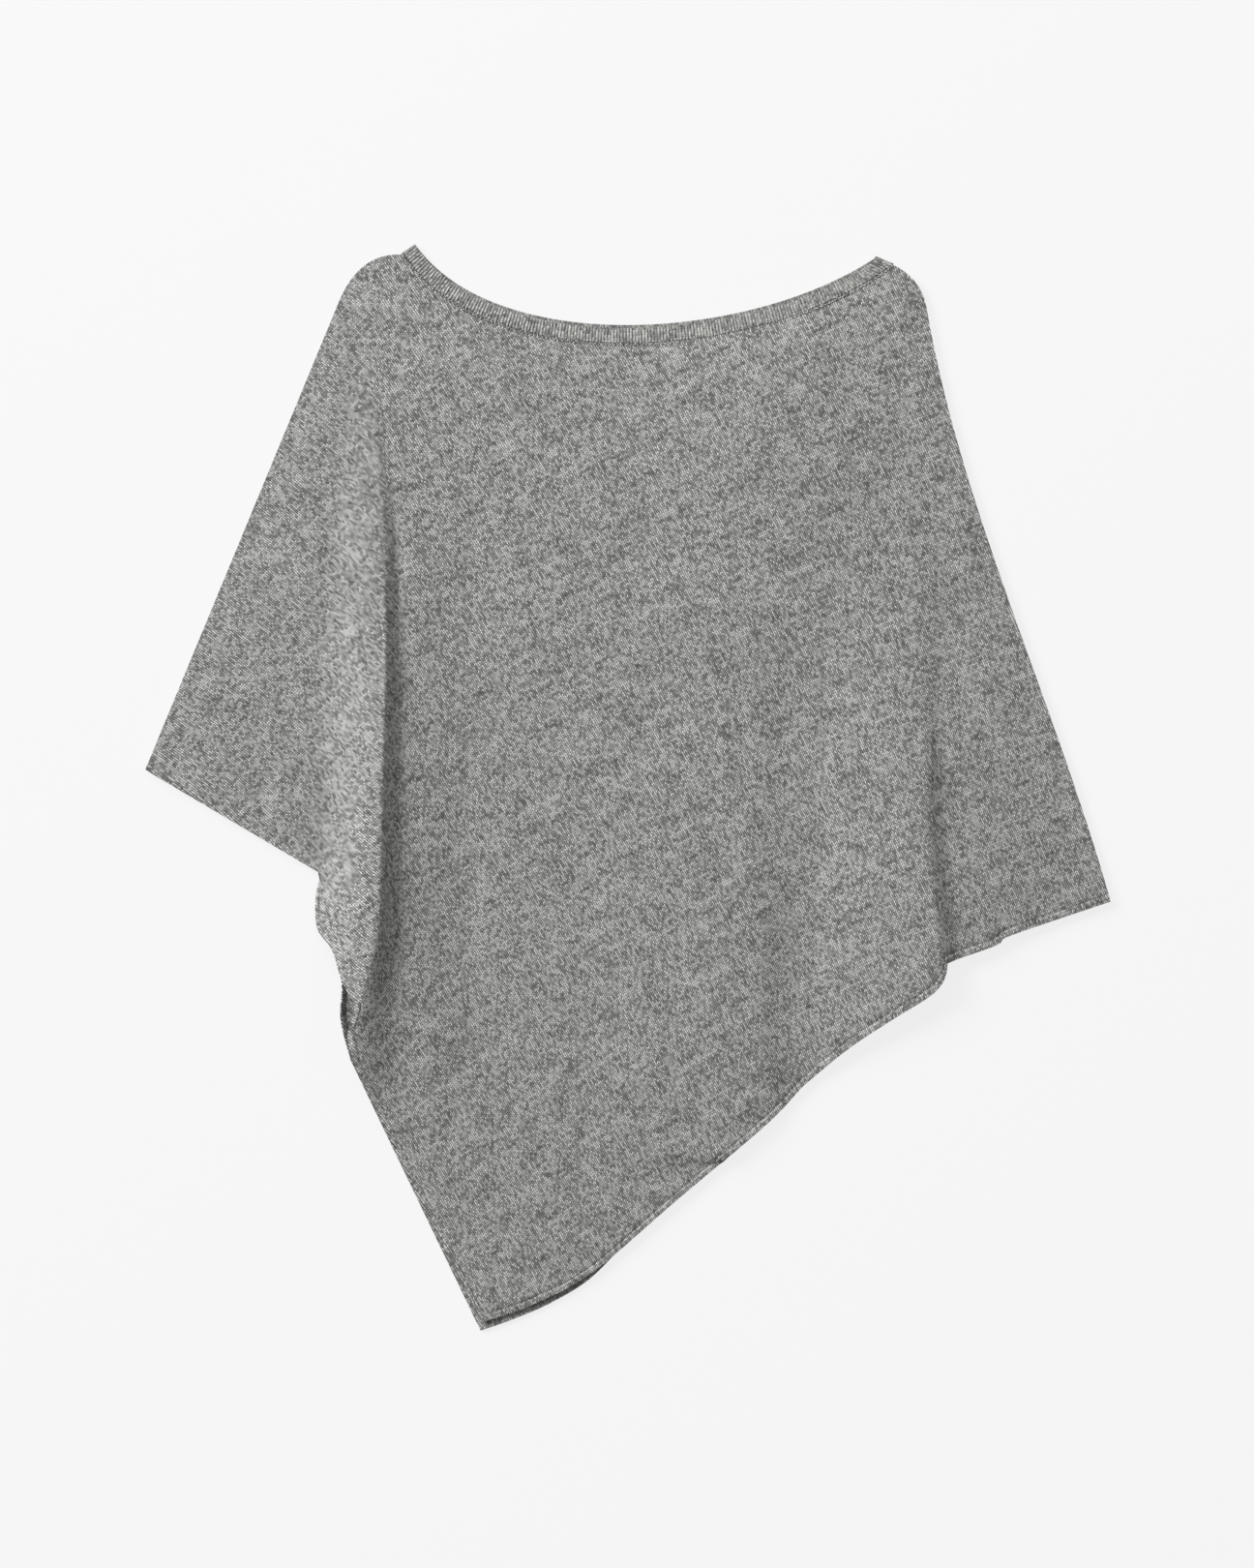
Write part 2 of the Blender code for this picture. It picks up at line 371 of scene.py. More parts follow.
def row_shares(lengths, near_neck, near_hem, middle_rows):
    """The share of its column that each row lies at: set distances at both ends, even between."""
    lengths = lengths[None, :]
    top = np.array(near_neck)[:, None] / lengths
    foot = 1 - np.array(near_hem)[::-1, None] / lengths
    between = np.linspace(0, 1, middle_rows + 2)[1:-1, None]
    return np.vstack((top, top[-1:] + (foot[:1] - top[-1:]) * between, foot))


NEAR_NECK = (0.0, 2.4, 4.2, 6.5)
NEAR_HEM = (0.0, 2.2, 3.2, 4.0, 4.7, 5.4, 6.4, 8.0, 10.5)


def panel_plan(hem, drop, middle_rows):
    """The panel's grid in plan, and how far each point lies from the hem and from the neck."""
    tops = panel_top(hem, drop)
    feet = panel_hem(hem)
    spans = np.linalg.norm(tops - feet, axis=1)
    shares = row_shares(spans, NEAR_NECK, NEAR_HEM, middle_rows)
    plan = np.empty((*shares.shape, 2))
    handles = ((feet - tops) * TOP_PULL, hem_pulls(hem) * spans[:, None] * HEM_PULL)
    for column in range(len(tops)):
        pulls = (handles[0][column], handles[1][column])
        plan[:, column] = bezier(tops[column], *pulls, feet[column], shares[:, column])
    across = np.linspace(0, 1, len(tops))[None, :, None]
    for side, edge, weight in ((LEFT_SIDE, 0, 1 - across), (RIGHT_SIDE, -1, across)):
        line = side_line(side, tops[edge])
        pulls = (handles[0][edge], handles[1][edge])
        curve = bezier(tops[edge], *pulls, feet[edge], shares)
        on_side = resample(line, shares.ravel()).reshape(*shares.shape, 2)
        plan += (on_side - curve) * weight
    return plan, (1 - shares) * spans[None, :], shares * spans[None, :]


# ---------------------------------------------------------------------------------------------
# Relief of the cloth
# ---------------------------------------------------------------------------------------------


OVERHANG_POWER = 3
BEAD_WIDTH = 1.8
RIDGE_WIDTH = 2.2
RIDGE_INSET = 2.0


def ridge_at(distance, width):
    """A rounded ridge of height 1 whose middle lies where the distance is 0."""
    return np.exp(-((distance / width) ** 2))


def flute_form(flute, x, y):
    """How far one flute lifts the cloth, and how far it carries it sideways over its steep side."""
    rows = through(flute.sections)[::-1]
    foot, crest, base, height = (np.interp(y, rows[:, 0], rows[:, axis]) for axis in range(1, 5))
    height = np.maximum(height, 0) * ((y > rows[0, 0]) & (y < rows[-1, 0]))
    share = height / max(section.height for section in flute.sections)
    overhang = flute.overhang * share**OVERHANG_POWER
    crest = crest - overhang
    rise = np.clip((x - foot) / (crest - foot), 0, 1)
    fall = np.clip((x - crest) / (base - crest), 0, 1)
    left = (smooth(rise) + 1 - (1 - rise) ** flute.roundness) / 2
    right = ((1 + np.cos(np.pi * fall)) / 2) ** flute.steepness
    lift = height * np.where(x <= crest, left, right)
    lift = lift + flute.bead * share * ridge_at(x - crest, BEAD_WIDTH)
    lift = lift + flute.ridge * share * ridge_at(x - foot - RIDGE_INSET, RIDGE_WIDTH)
    lift = lift + flute.tail * share * smooth(fall) * smooth(1 - (x - base) / flute.tail_length)
    return lift, overhang * np.where(x <= crest, rise**4, (1 - fall) ** 2)


Swell = namedtuple("Swell", "wavelength degrees shift height")
SWELLS = (
    Swell(173, 28, 0.3, 0.32),
    Swell(121, 103, 1.9, 0.28),
    Swell(88, 151, 4.4, 0.24),
    Swell(67, 61, 2.7, 0.2),
    Swell(49, 12, 5.1, 0.16),
    Swell(37, 128, 0.9, 0.13),
    Swell(26, 84, 3.6, 0.1),
    Swell(19, 38, 1.2, 0.07),
)
SWELL_BEND = 0.8
SWELL_BEND_PITCH = 0.37


def swells(x, y):
    """Shallow unevenness of cloth smoothed out by hand, never below its level."""
    total = 0.0
    for swell in SWELLS:
        way = polar(1.0, swell.degrees)
        phase = (x * way[0] + y * way[1]) * math.tau / swell.wavelength + swell.shift
        bent = phase + SWELL_BEND * np.sin(phase * SWELL_BEND_PITCH + swell.shift)
        total = total + swell.height * (1 + np.sin(bent)) / 2
    return total


WELT_HEIGHT = 0.3
WELT_WIDTH = 4.6
WELT_SLOPE = 1.2
DENT_DEPTH = 0.45
DENT_PLACE = 5.2
DENT_WIDTH = 0.8


def welt(from_hem):
    """The firm narrow edge of the hem, and the dent along its inner side."""
    firm = WELT_HEIGHT * smooth((WELT_WIDTH - from_hem) / WELT_SLOPE)
    return firm - DENT_DEPTH * ridge_at(from_hem - DENT_PLACE, DENT_WIDTH)


# ---------------------------------------------------------------------------------------------
# How the stitches lie on the cloth
# ---------------------------------------------------------------------------------------------


FIT_UNIT = 100.0


def fitted(lies, gradients):
    """The smooth count of stitches whose change at each place is nearest to the given one."""
    rows, goals = [], []
    for lie, (across, along) in zip(lies, gradients):
        x, y = lie.x / FIT_UNIT, lie.y / FIT_UNIT
        rows += [(1, 0, 2 * x, y, 0), (0, 1, 0, x, 2 * y)]
        goals += [across, along]
    terms = np.linalg.lstsq(np.array(rows, float), np.array(goals), rcond=None)[0]

    def count(x, y):
        x, y = x / FIT_UNIT, y / FIT_UNIT
        return FIT_UNIT * sum(term * part for term, part in zip(terms, (x, y, x * x, x * y, y * y)))

    return count


def knit_counts(lies):
    """Functions that give the wale and the course at a place on the cloth."""
    slopes = np.radians([lie.slope for lie in lies])
    across = np.stack((np.sin(slopes), np.cos(slopes)), axis=-1) / WALE_PITCH
    upward = np.stack((-np.cos(slopes), np.sin(slopes)), axis=-1) / COURSE_PITCH
    return fitted(lies, across), fitted(lies, upward)


DART_TIP = (-206.0, 330.0)
FIRST_COUNT = (200.0, 300.0)


def left_of_flute(x, y):
    """True on the arm's side of the left flute's steep side."""
    rows = through(FLUTES[0].sections)[::-1]
    line = np.interp(y, rows[:, 0], (rows[:, 2] + rows[:, 3]) / 2)
    return x < line


def knit_map(x, y):
    """Two maps of the stitches at each point, for the left arm and for the body."""
    maps = []
    for lies in (LEFT_ARM_LIES, BODY_LIES):
        wale, course = knit_counts(lies)
        counts = [
            count(x, y) - count(*DART_TIP) + first for count, first in zip((wale, course), FIRST_COUNT)
        ]
        maps.append(np.stack(counts, axis=-1))
    return maps


# ---------------------------------------------------------------------------------------------
# Shells
# ---------------------------------------------------------------------------------------------

EDGE_STEPS = 4
EDGE_BULGE = 0.5


def grid_normals(points, closed):
    """Upward normals of a grid of points."""
    if closed:
        wrapped = np.concatenate((points[:, -1:], points, points[:, :1]), axis=1)
        along = (wrapped[:, 2:] - wrapped[:, :-2]) / 2
    else:
        along = np.gradient(points, axis=1)
    down = np.gradient(points, axis=0)
    return unit(np.cross(down, along))


def border(rows, columns, closed):
    """The rings of grid places round the edges of a sheet."""
    top = [(0, column) for column in range(columns)]
    foot = [(rows - 1, column) for column in reversed(range(columns))]
    if closed:
        return [top, foot]
    right = [(row, columns - 1) for row in range(1, rows - 1)]
    left = [(row, 0) for row in reversed(range(1, rows - 1))]
    return [top + right + foot + left]


def outward_at(points, normals, ring):
    """Unit directions that lead off the sheet at each place of a ring."""
    edge = np.array([points[place] for place in ring])
    up = np.array([normals[place] for place in ring])
    run = unit(np.roll(edge, -1, axis=0) - np.roll(edge, 1, axis=0))
    return unit(np.cross(run, up))


def crease_border(mesh, at_border):
    """Marks the edges that run along a sheet's border, so that its face keeps its own shading."""
    ends = np.empty(len(mesh.edges) * 2, dtype=np.int32)
    mesh.edges.foreach_get("vertices", ends)
    crisp = at_border[ends.reshape(-1, 2)].all(axis=1)
    mesh.attributes.new("sharp_edge", "BOOLEAN", "EDGE").data.foreach_set("value", crisp)


def lay_knit(mesh, origin, faces, counts, zones):
    """Gives each corner of each face the stitch that lies there, from the map of its own zone."""
    corners = np.empty(len(mesh.loops), dtype=np.int32)
    mesh.loops.foreach_get("vertex_index", corners)
    flat_counts = [count.reshape(-1, 2) for count in counts]
    knit = flat_counts[-1][origin][corners]
    if zones is not None:
        arm = zones.ravel()[origin][faces].mean(axis=1) > 0.5
        knit = np.where(np.repeat(arm, 4)[:, None], flat_counts[0][origin][corners], knit)
    mesh.uv_layers.new(name="knit").data.foreach_set("uv", knit.astype(np.float32).ravel())


def shell(name, points, half, counts, zones=None, closed=False):
    """A cloth of the given half thickness round a grid of points, with rounded edges.

    Counts holds the stitches' coordinates at each point, one map for each zone of the cloth.
    """
    rows, columns = points.shape[:2]
    normals = grid_normals(points, closed)
    rings = border(rows, columns, closed)
    outs = [outward_at(points, normals, ring) for ring in rings]
    middle = points.copy()
    for ring, out in zip(rings, outs):
        for place, way in zip(ring, out):
            middle[place] -= way * half[place] * EDGE_BULGE
    upper = middle + normals * half[..., None]
    under = middle - normals * half[..., None]
    places = np.arange(rows * columns).reshape(rows, columns)
    ahead = np.roll(places, -1, axis=1) if closed else places[:, 1:]
    here = places if closed else places[:, :-1]
    quads = np.stack((here[:-1], here[1:], ahead[1:], ahead[:-1]), axis=-1).reshape(-1, 4)
    faces = [quads, quads[:, ::-1] + rows * columns]
    vertices = [upper.reshape(-1, 3), under.reshape(-1, 3)]
    origins = [places.ravel(), places.ravel()]
    total = 2 * rows * columns
    for ring, out in zip(rings, outs):
        index = np.array([places[place] for place in ring])
        lines = [index]
        for step in range(1, EDGE_STEPS):
            angle = math.pi * step / EDGE_STEPS
            reach = half.ravel()[index][:, None]
            lift = normals.reshape(-1, 3)[index] * math.cos(angle) + out * math.sin(angle) * EDGE_BULGE
            vertices.append(middle.reshape(-1, 3)[index] + lift * reach)
            origins.append(index)
            lines.append(np.arange(total, total + len(index)))
            total += len(index)
        lines.append(index + rows * columns)
        for first, second in zip(lines, lines[1:]):
            faces.append(np.stack((first, np.roll(first, -1), np.roll(second, -1), second), axis=-1))
    vertices = np.vstack(vertices) * MM
    faces = np.vstack(faces)
    mesh = bpy.data.meshes.new(name)
    mesh.from_pydata(vertices.tolist(), [], faces.tolist())
    at_border = np.zeros(len(vertices), dtype=bool)
    for ring in rings:
        index = np.array([places[place] for place in ring])
        at_border[index] = True
        at_border[index + rows * columns] = True
    crease_border(mesh, at_border)
    lay_knit(mesh, np.concatenate(origins), faces, counts, zones)
    mesh.shade_smooth()
    piece = bpy.data.objects.new(name, mesh)
    bpy.context.scene.collection.objects.link(piece)
    return piece


# ---------------------------------------------------------------------------------------------
# The pieces
# ---------------------------------------------------------------------------------------------

PANEL_HALF = 0.95
FRONT_ROWS = 100
BACK_ROWS = 60
SIDE_CALM = 25.0
HEM_CALM = 20.0
HEM_UNREST = 0.3
NECK_CALM = 30.0
LIP_HEIGHT = 2.6
LIP_WIDTH = 6.0
LIP_FOOT = (-228.0, 22.0)
LIP_HEAD = (-142.0, 20.0)
LIP_RIGHT = -200.0


def side_distance(plan):
    """How far each grid point lies from the nearer side of the panel."""
    lengths = np.linalg.norm(np.diff(plan, axis=1), axis=2)
    from_left = np.concatenate((np.zeros((len(plan), 1)), np.cumsum(lengths, axis=1)), axis=1)
    return np.minimum(from_left, from_left[:, -1:] - from_left)


def make_front():
    """The front panel, with its flutes and the shallow unevenness of smoothed cloth."""
    plan, from_hem, from_neck = panel_plan(FRONT_HEM, FRONT_NECK_DROP, FRONT_ROWS)
    x, y = plan[..., 0], plan[..., 1]
    lift, carry = (sum(parts) for parts in zip(*(flute_form(flute, x, y) for flute in FLUTES)))
    calm = smooth(side_distance(plan) / SIDE_CALM) * smooth(from_neck / NECK_CALM)
    calm = calm * smooth(from_hem / HEM_CALM + HEM_UNREST)
    height = FRONT_LEVEL + lift + swells(x, y) * calm
    half = PANEL_HALF + welt(from_hem) * 0.5
    height = height + (half - PANEL_HALF)
    points = np.stack((x + carry, y, height), axis=-1)
    zones = left_of_flute(x, y).astype(float)
    return shell("front_panel_knit", points, half, knit_map(x, y), zones)


def make_back():
    """The back panel, flat, with a small raised lip where its hem shows under the left flute."""
    plan, from_hem, _ = panel_plan(BACK_HEM, 0.0, BACK_ROWS)
    x, y = plan[..., 0], plan[..., 1]
    half = PANEL_HALF + np.minimum(welt(from_hem), 0) * 0.5
    rise = smooth((y - LIP_FOOT[0]) / LIP_FOOT[1]) * smooth((LIP_HEAD[0] - y) / LIP_HEAD[1])
    lip = LIP_HEIGHT * rise * smooth(1 - from_hem / LIP_WIDTH)
    points = np.stack((x, y, BACK_LEVEL + lip * (x < LIP_RIGHT)), axis=-1)
    zones = left_of_flute(x, y).astype(float)
    return shell("back_panel_knit", points, half, knit_map(x, y), zones)


BAND_HALF = 0.72
RIB_RELIEF = 0.26
RIB_END_RELIEF = 0.35
RIB_END_SLOPE = 6.0
RIB_COLUMNS = 5
TURN_STEPS = 8
BAND_ROWS = (0.0, 0.12, 0.3, 0.5, 0.7, 0.88, 1.0)
BAND_STEPS = 400


def band_path():
    """A closed path of pairs round the band: its upper and its lower edge, in three dimensions."""
    t = np.linspace(0, 1, BAND_STEPS)
    radius = (FRONT_LEVEL - BACK_LEVEL) / 2
    middle = (FRONT_LEVEL + BACK_LEVEL) / 2
    uppers, lowers = [], []
    for drop, level, end in ((FRONT_NECK_DROP, FRONT_LEVEL, 1.0), (0.0, BACK_LEVEL, 0.0)):
        places = t if end else t[::-1]
        upper, lower = band_edges(places, drop)
        turn_upper, turn_lower = band_edges(np.array([end]), 0.0)
        fold = unit(turn_upper - turn_lower)[0]
        side = 1 if end else -1
        outward = np.array((fold[1], -fold[0])) * side
        angle = np.pi * np.arange(1, TURN_STEPS) / TURN_STEPS
        bulge = outward * (radius * np.sin(angle))[:, None]
        turn = middle + radius * side * np.cos(angle)
        for store, line, corner in ((uppers, upper, turn_upper), (lowers, lower, turn_lower)):
            store.append(np.column_stack((line, np.full(len(line), level))))
            store.append(np.column_stack((corner + bulge, turn)))
    return np.vstack(uppers), np.vstack(lowers)


def make_band():
    """The neckband: one flattened ring of fine ribs."""
    upper, lower = band_path()
    loop_upper = np.vstack((upper, upper[:1]))
    loop_lower = np.vstack((lower, lower[:1]))
    length = reached((loop_upper + loop_lower) / 2)
    ribs = round(length[-1] / RIB_PITCH)
    places = np.linspace(0, length[-1], ribs * RIB_COLUMNS, endpoint=False)
    edges = [
        np.stack([np.interp(places, length, line[:, axis]) for axis in range(3)], axis=-1)
        for line in (loop_upper, loop_lower)
    ]
    rows = np.array(BAND_ROWS)[:, None, None]
    points = edges[0][None] * (1 - rows) + edges[1][None] * rows
    rib = np.arange(ribs * RIB_COLUMNS) / RIB_COLUMNS
    to_edge = np.minimum(rows[..., 0], 1 - rows[..., 0])
    calm = np.minimum(1, to_edge * RIB_END_SLOPE + RIB_END_RELIEF)
    relief = RIB_RELIEF * np.cos(rib * math.tau)[None, :] * calm
    points = points + grid_normals(points, True) * relief[..., None]
    half = np.full(points.shape[:2], BAND_HALF)
    height = rows[..., 0] * BAND_HEIGHT / COURSE_PITCH
    counts = np.stack(np.broadcast_arrays(rib[None, :], height), axis=-1)
    counts[..., 0] = counts[..., 0] % (ribs + 1)
    return shell("neckband_rib", points, half, [counts], closed=True)


# ---------------------------------------------------------------------------------------------
# The chain of loops that links the neckband to the panels
# ---------------------------------------------------------------------------------------------

LOOP_PATH = (
    (-0.95, -1.2, -0.2),
    (-1.0, -0.1, 0.3),
    (0.0, 0.9, 0.45),
    (1.0, -0.1, 0.3),
    (0.95, -1.2, -0.2),
)
LOOP_RADIUS = 0.42
LOOP_SIDES = 6
LOOP_PITCH = 3.2
LOOP_UNEVENNESS = 0.16
LOOP_SEED = 7
LOOP_TILT = (0.0, 0.35, 1.0)
CHAIN_ENDS = (0.004, 0.996)
CHAIN_LEVELS = ((FRONT_NECK_DROP, FRONT_LEVEL + 0.85, 0.0), (0.0, 1.05, 180.0))


def make_loop():
    """One small arched stitch of round yarn."""
    path = through(LOOP_PATH, 2)
    run = unit(np.gradient(path, axis=0))
    side = unit(np.cross(run, LOOP_TILT))
    up = np.cross(side, run)
    angle = np.arange(LOOP_SIDES) * math.tau / LOOP_SIDES
    rings = [
        point + LOOP_RADIUS * (np.outer(np.cos(angle), across) + np.outer(np.sin(angle), rising))
        for point, across, rising in zip(path, side, up)
    ]
    count = len(rings)
    places = np.arange(count * LOOP_SIDES).reshape(count, LOOP_SIDES)
    ahead = np.roll(places, -1, axis=1)
    quads = np.stack((places[:-1], places[1:], ahead[1:], ahead[:-1]), axis=-1).reshape(-1, 4)
    faces = quads.tolist() + [places[0][::-1].tolist(), places[-1].tolist()]
    mesh = bpy.data.meshes.new("loop")
    mesh.from_pydata((np.vstack(rings) * MM).tolist(), [], faces)
    mesh.shade_smooth()
    return bpy.data.objects.new("loop", mesh)


def chain_places():
    """The places of the loops along both sides of the band's lower edge, and their turns."""
    places, turns = [], []
    for drop, level, roll in CHAIN_LEVELS:
        upper, lower = band_edges(np.linspace(*CHAIN_ENDS, 600), drop)
        length = reached(lower)[-1]
        shares = np.linspace(0, 1, round(length / LOOP_PITCH))
        edge = resample(lower, shares)
        down = unit(resample(lower - upper, shares))
        turn = np.arctan2(down[:, 1], down[:, 0]) - math.pi / 2
        places.append(np.column_stack((edge, np.full(len(edge), level))))
        rolls = np.full(len(edge), math.radians(roll))
        turns.append(np.column_stack((rolls, np.zeros(len(edge)), turn)))
    return np.vstack(places), np.vstack(turns)


def linking_nodes():
    """The node group that sets a loop at each point, each a little larger or smaller."""
    group = bpy.data.node_groups.new("linking", "GeometryNodeTree")
    sockets = {}
    for name, kind, way in (
        ("Geometry", "NodeSocketGeometry", "INPUT"),
        ("Loop", "NodeSocketObject", "INPUT"),
        ("Finish", "NodeSocketMaterial", "INPUT"),
        ("Seed", "NodeSocketInt", "INPUT"),
        ("Smallest", "NodeSocketFloat", "INPUT"),
        ("Largest", "NodeSocketFloat", "INPUT"),
        ("Geometry", "NodeSocketGeometry", "OUTPUT"),
    ):
        sockets[name, way] = group.interface.new_socket(name, in_out=way, socket_type=kind)
    add, join = group.nodes.new, group.links.new
    given, result = add("NodeGroupInput"), add("NodeGroupOutput")
    points, loop = add("GeometryNodeMeshToPoints"), add("GeometryNodeObjectInfo")
    scatter, turn = add("GeometryNodeInstanceOnPoints"), add("GeometryNodeInputNamedAttribute")
    size, whole = add("FunctionNodeRandomValue"), add("GeometryNodeRealizeInstances")
    finish = add("GeometryNodeSetMaterial")
    turn.data_type = "FLOAT_VECTOR"
    turn.inputs["Name"].default_value = "turn"
    size.data_type = "FLOAT"
    least, most = [socket for socket in size.inputs if socket.type == "VALUE"][:2]
    join(given.outputs["Geometry"], points.inputs["Mesh"])
    join(given.outputs["Loop"], loop.inputs["Object"])
    join(given.outputs["Smallest"], least)
    join(given.outputs["Largest"], most)
    join(given.outputs["Seed"], size.inputs["Seed"])
    join(points.outputs["Points"], scatter.inputs["Points"])
    join(loop.outputs["Geometry"], scatter.inputs["Instance"])
    join(turn.outputs["Attribute"], scatter.inputs["Rotation"])
    join(next(socket for socket in size.outputs if socket.type == "VALUE"), scatter.inputs["Scale"])
    join(scatter.outputs["Instances"], whole.inputs["Geometry"])
    join(whole.outputs["Geometry"], finish.inputs["Geometry"])
    join(given.outputs["Finish"], finish.inputs["Material"])
    join(finish.outputs["Geometry"], result.inputs["Geometry"])
    return group, sockets


def make_linking(finish):
    """The chain of loops, as one plain mesh."""
    places, turns = chain_places()
    mesh = bpy.data.meshes.new("linking_places")
    mesh.from_pydata((places * MM).tolist(), [], [])
    mesh.attributes.new("turn", "FLOAT_VECTOR", "POINT").data.foreach_set("vector", turns.ravel())
    carrier = bpy.data.objects.new("linking_places", mesh)
    loop = make_loop()
    for thing in (carrier, loop):
        bpy.context.scene.collection.objects.link(thing)
    group, sockets = linking_nodes()
    modifier = carrier.modifiers.new("linking", "NODES")
    modifier.node_group = group
    for name, value in (
        ("Loop", loop),
        ("Finish", finish),
        ("Seed", LOOP_SEED),
        ("Smallest", 1 - LOOP_UNEVENNESS),
        ("Largest", 1 + LOOP_UNEVENNESS),
    ):
        modifier[sockets[name, "INPUT"].identifier] = value
    graph = bpy.context.evaluated_depsgraph_get()
    made = bpy.data.meshes.new_from_object(carrier.evaluated_get(graph))
    made.name = "neckband_linking"
    piece = bpy.data.objects.new("neckband_linking", made)
    bpy.context.scene.collection.objects.link(piece)
    for thing in (carrier, loop):
        bpy.data.objects.remove(thing)
    return piece


# ---------------------------------------------------------------------------------------------
# Finishes
# ---------------------------------------------------------------------------------------------


class Value:
    """A number in a finish, which Python's own operators go on working with."""

    def __init__(self, finish, socket):
        self.finish = finish
        self.socket = socket

    def maths(self, operation, *values):
        return self.finish.node("ShaderNodeMath", {"operation": operation}, dict(enumerate(values)))

    def __add__(self, other):
        return self.maths("ADD", self, other)

    def __sub__(self, other):
        return self.maths("SUBTRACT", self, other)

    def __rsub__(self, other):
        return self.maths("SUBTRACT", other, self)

    def __mul__(self, other):
        return self.maths("MULTIPLY", self, other)

    def __truediv__(self, other):
        return self.maths("DIVIDE", self, other)

    def __pow__(self, other):
        return self.maths("POWER", self, other)

    def __abs__(self):
        return self.maths("ABSOLUTE", self)

    __radd__ = __add__
    __rmul__ = __mul__

    def whole(self):
        return self.maths("FLOOR", self)

    def part(self):
        return self.maths("FRACT", self)

    def over(self, low, high):
        """0 below low, 1 above high and smooth between."""
        inputs = {"Value": self, "From Min": low, "From Max": high}
        return self.finish.node("ShaderNodeMapRange", {"interpolation_type": "SMOOTHSTEP"}, inputs)


class Finish:
    """A material under construction."""

    def __init__(self, name):
        self.material = bpy.data.materials.new(name)
        self.material.use_nodes = True
        self.tree = self.material.node_tree
        self.shader = self.tree.nodes["Principled BSDF"]

    def feed(self, socket, value):
        if isinstance(value, Value):
            self.tree.links.new(value.socket, socket)
        else:
            socket.default_value = value

    def node(self, kind, settings=None, inputs=None, out=0):
        """Adds a node, with its settings set first, and gives one of its outputs."""
        node = self.tree.nodes.new(kind)
        for key, value in (settings or {}).items():
            setattr(node, key, value)
        for key, value in (inputs or {}).items():
            self.feed(node.inputs[key], value)
        return Value(self, node.outputs[out])

    def vector(self, x, y, z=0.0):
        return self.node("ShaderNodeCombineXYZ", inputs={"X": x, "Y": y, "Z": z})

    def noise(self, at, scale, detail=2.0):
        inputs = {"Vector": at, "Scale": scale, "Detail": detail}
        return self.node("ShaderNodeTexNoise", {"noise_dimensions": "3D"}, inputs)

    def blend(self, factor, first, second, way="MIX"):
        """The colour that lies at factor between the first and the second, or what way makes of them."""
        node = self.tree.nodes.new("ShaderNodeMix")
        node.data_type = "RGBA"
        node.blend_type = way
        colours = [socket for socket in node.inputs if socket.type == "RGBA"]
        self.feed(node.inputs["Factor"], factor)
        self.feed(colours[0], first)
        self.feed(colours[1], second)
        return Value(self, next(socket for socket in node.outputs if socket.type == "RGBA"))

    def with_painted_shade(self, colour, amount, low, high):
        """A colour multiplied by a painted shade that lies at amount between low and high."""
        return self.blend(1.0, colour, self.blend(amount, low, high), "MULTIPLY")

    def shine(self, **values):
        for name, value in values.items():
            self.feed(self.shader.inputs[name.replace("_", " ")], value)


DARK_YARN = (0.09, 0.091, 0.089, 1.0)
PALE_YARN = (0.65, 0.652, 0.638, 1.0)
# Painted shade and light on the jersey: its colour is multiplied by the first of these in the hollows
# between the stitches' legs, where shade falls, and by the second, a painted highlight, on the legs'
# tops.
JERSEY_GAP_PAINTED_SHADOW = (0.2, 0.2, 0.2, 1.0)
JERSEY_CREST_PAINTED_LIGHT = (1.11, 1.11, 1.105, 1.0)
# Painted shade on the rib: darker in the hollows between the ribs, and the whole band, its loops too,
# darkened a little where the lamp beyond the neck lights it more.
RIB_GAP_PAINTED_SHADOW = (0.6, 0.6, 0.59, 1.0)
RIB_CREST_PAINTED_SHADE = (0.79, 0.79, 0.77, 1.0)
# Painted shadow along the band's lower edge, behind the chain of loops.
LINKING_PAINTED_SHADOW = (0.3, 0.3, 0.3, 1.0)
UNSHADED = (1.0, 1.0, 1.0, 1.0)

# The marl: lengths in wales and courses, and how far each kind of change moves the yarn's tone
STREAK = (5.0, 2.0)
PATCH = (9.0, 6.0)
FIBRE_SCALE = 1400.0
EACH_SHARE = 0.7
STREAK_SHARE = 0.5
PATCH_SHARE = 0.5
FIBRE_SHARE = 0.3
TONE_ENDS = (-0.15, 1.15)

# How far the stitches wander off their wales and courses, and over what distance
SWAY = 0.5
SWAY_SCALE = 90.0
SHIFT = 0.8
SHIFT_SCALE = 75.0

JERSEY_CLIMB = 0.8
JERSEY_BUMP = 0.18
RIB_CLIMB = 0.6
RIB_BUMP = 0.3
# The courses of the band over which that painted shadow comes in.
LINKING_SHADOW_COURSES = (5.0, 5.5)
YARN_BUMP = 0.15


def heather(finish, stitch, wale, course, place):
    """The grey of a marled yarn: each stitch by itself, streaks along the courses, soft patches."""
    each = finish.node("ShaderNodeTexWhiteNoise", {"noise_dimensions": "3D"}, {"Vector": stitch})
    strand = finish.noise(finish.vector(wale / STREAK[0], course / STREAK[1]), 1.0, 1.0)
    patch = finish.noise(finish.vector(wale / PATCH[0], course / PATCH[1], 4.0), 1.0, 2.0)
    fibre = finish.noise(place, FIBRE_SCALE, 1.0)
    tone = 0.5 + (each - 0.5) * EACH_SHARE + (strand - 0.5) * STREAK_SHARE
    tone = tone + (patch - 0.5) * PATCH_SHARE + (fibre - 0.5) * FIBRE_SHARE
    return finish.blend(tone.over(*TONE_ENDS), DARK_YARN, PALE_YARN)


